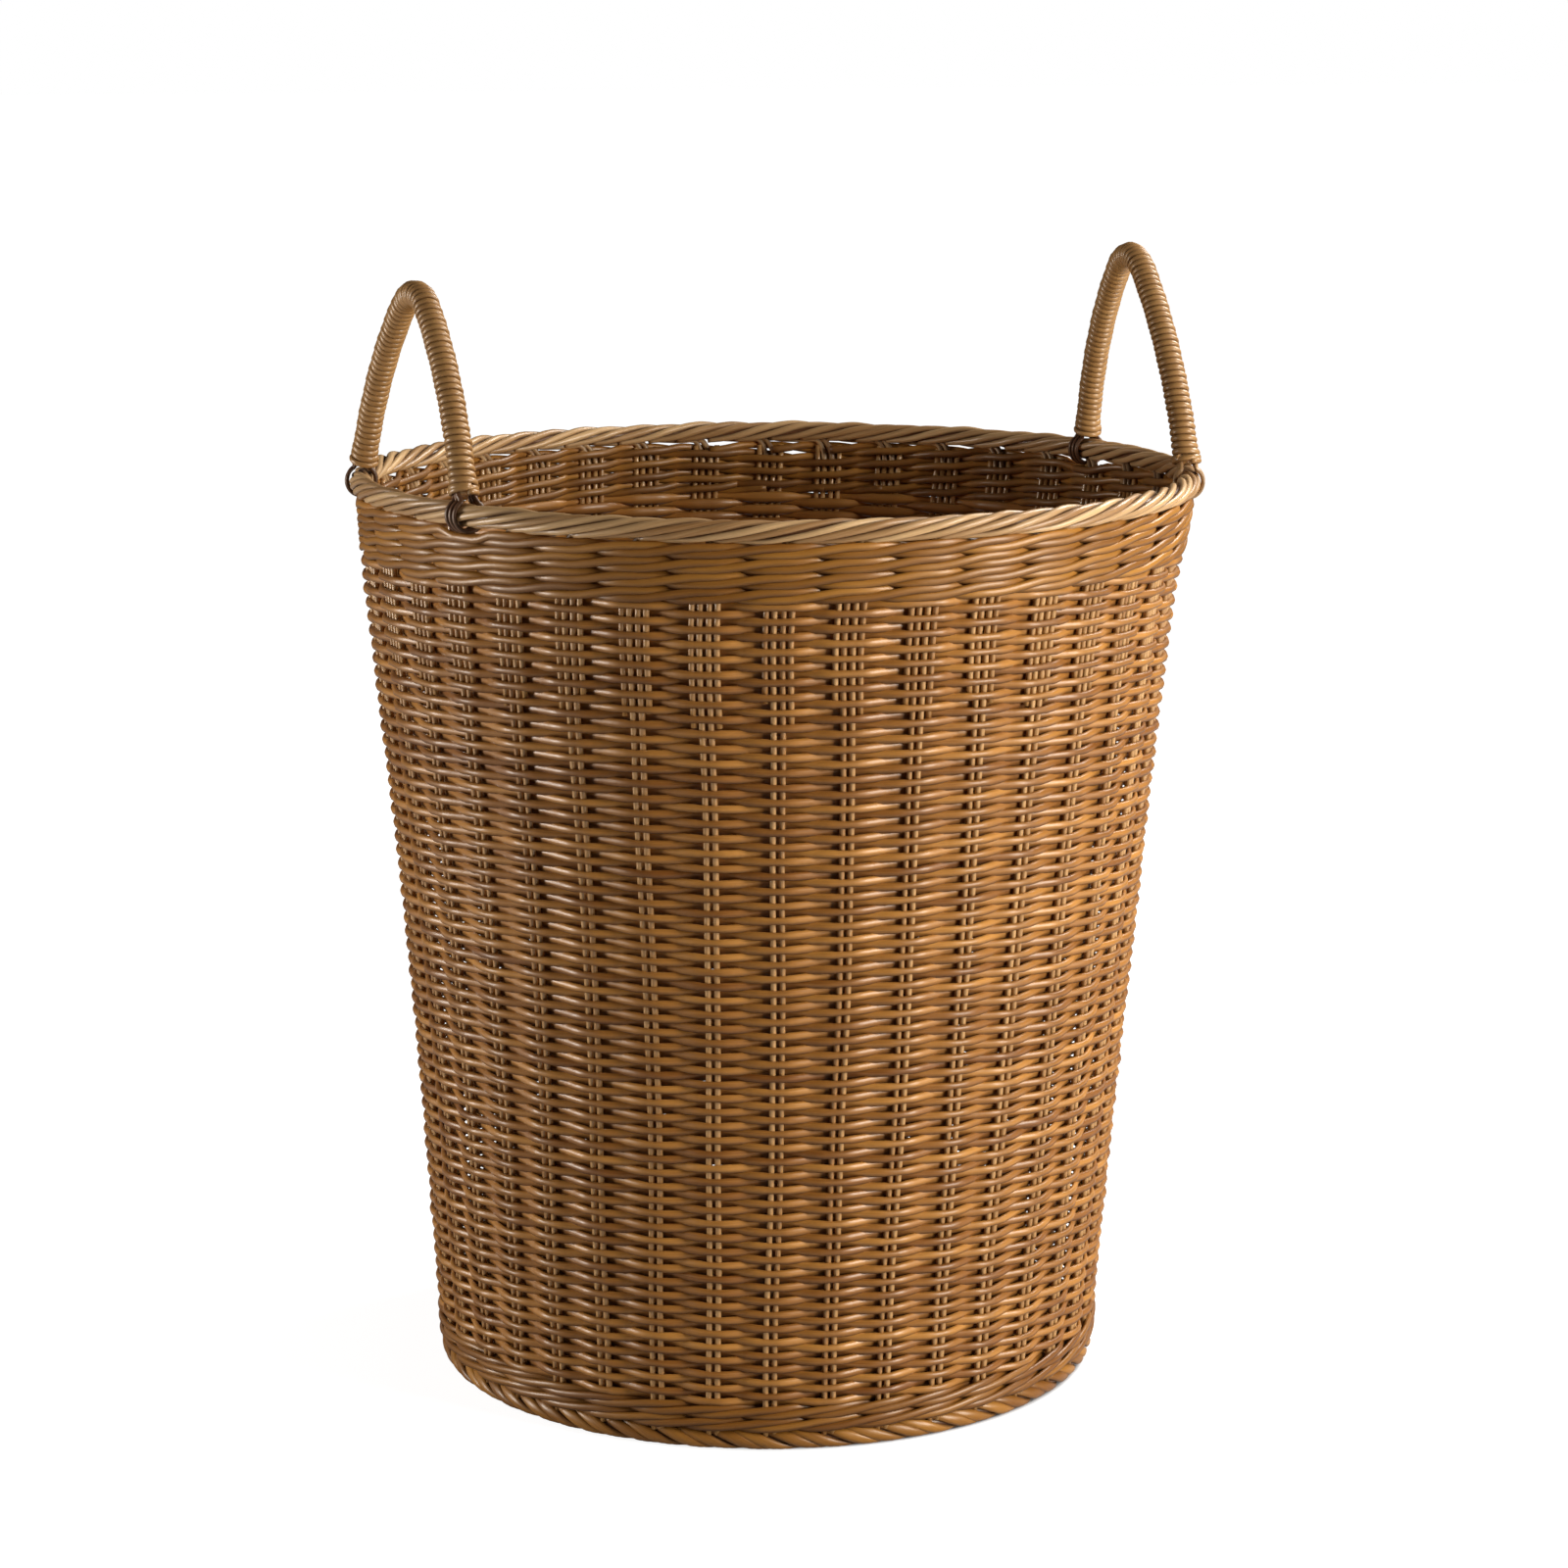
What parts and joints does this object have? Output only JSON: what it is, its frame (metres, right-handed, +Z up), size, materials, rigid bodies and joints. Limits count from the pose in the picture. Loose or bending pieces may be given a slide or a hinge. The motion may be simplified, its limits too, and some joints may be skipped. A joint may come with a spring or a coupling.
{
  "type": "woven laundry basket",
  "caption": "Tall round cane laundry basket with a flared woven side, rope borders at rim and foot, and two wound handles that swing on cane rings.",
  "frame": {"origin": "centre of the foot's flat underside", "axes": "+Z up out of the mouth; -Y is the front; the handles stand at -X (left) and +X (right)"},
  "size_m": [0.4492, 0.4492, 0.601],
  "materials": {
    "weave_cane": "varnished honey-brown round cane, semi-gloss",
    "wale_cane": "varnished honey-brown round cane, semi-gloss",
    "stake_cane": "varnished brown round cane, satin",
    "border_cane": "varnished pale tan round cane, semi-gloss",
    "handle_cane": "varnished tan wrapping cane, semi-gloss",
    "dark_cane": "dark brown binding cane, satin"
  },
  "bodies": {
    "basket": {"foot_border": "border_cane", "foot_hoop": "stake_cane", "base_sticks_lower": "stake_cane", "base_sticks_upper": "stake_cane", "base_weave_lower": "weave_cane", "base_weave_upper": "weave_cane", "foot_wale": "wale_cane", "side_stakes": "stake_cane", "bye_stakes": "stake_cane", "side_weave_1": "weave_cane", "side_weave_2": "weave_cane", "side_weave_3": "weave_cane", "side_weave_4": "weave_cane", "side_weave_5": "weave_cane", "side_weave_6": "weave_cane", "side_weave_7": "weave_cane", "side_weave_8": "weave_cane", "top_wale": "wale_cane", "rim_hoop": "stake_cane", "rim_border": "border_cane"},
    "left_handle": {"left_handle_core": "stake_cane", "left_handle_winding": "handle_cane", "left_front_rings": "dark_cane", "left_back_rings": "dark_cane", "left_front_binding": "dark_cane", "left_back_binding": "dark_cane"},
    "right_handle": {"right_handle_core": "stake_cane", "right_handle_winding": "handle_cane", "right_front_rings": "dark_cane", "right_back_rings": "dark_cane", "right_front_binding": "dark_cane", "right_back_binding": "dark_cane"}
  },
  "joints": [
    {"name": "left_handle_swing", "type": "hinge", "parent": "basket", "child": "left_handle", "pos_m": [-0.20332, -0.01685, 0.4795], "axis": [0.0826, -0.9966, 0], "range_deg": [-97, 117]},
    {"name": "right_handle_swing", "type": "hinge", "parent": "basket", "child": "right_handle", "pos_m": [0.20332, -0.01685, 0.4795], "axis": [0.0826, 0.9966, 0], "range_deg": [-97, 117]}
  ]
}
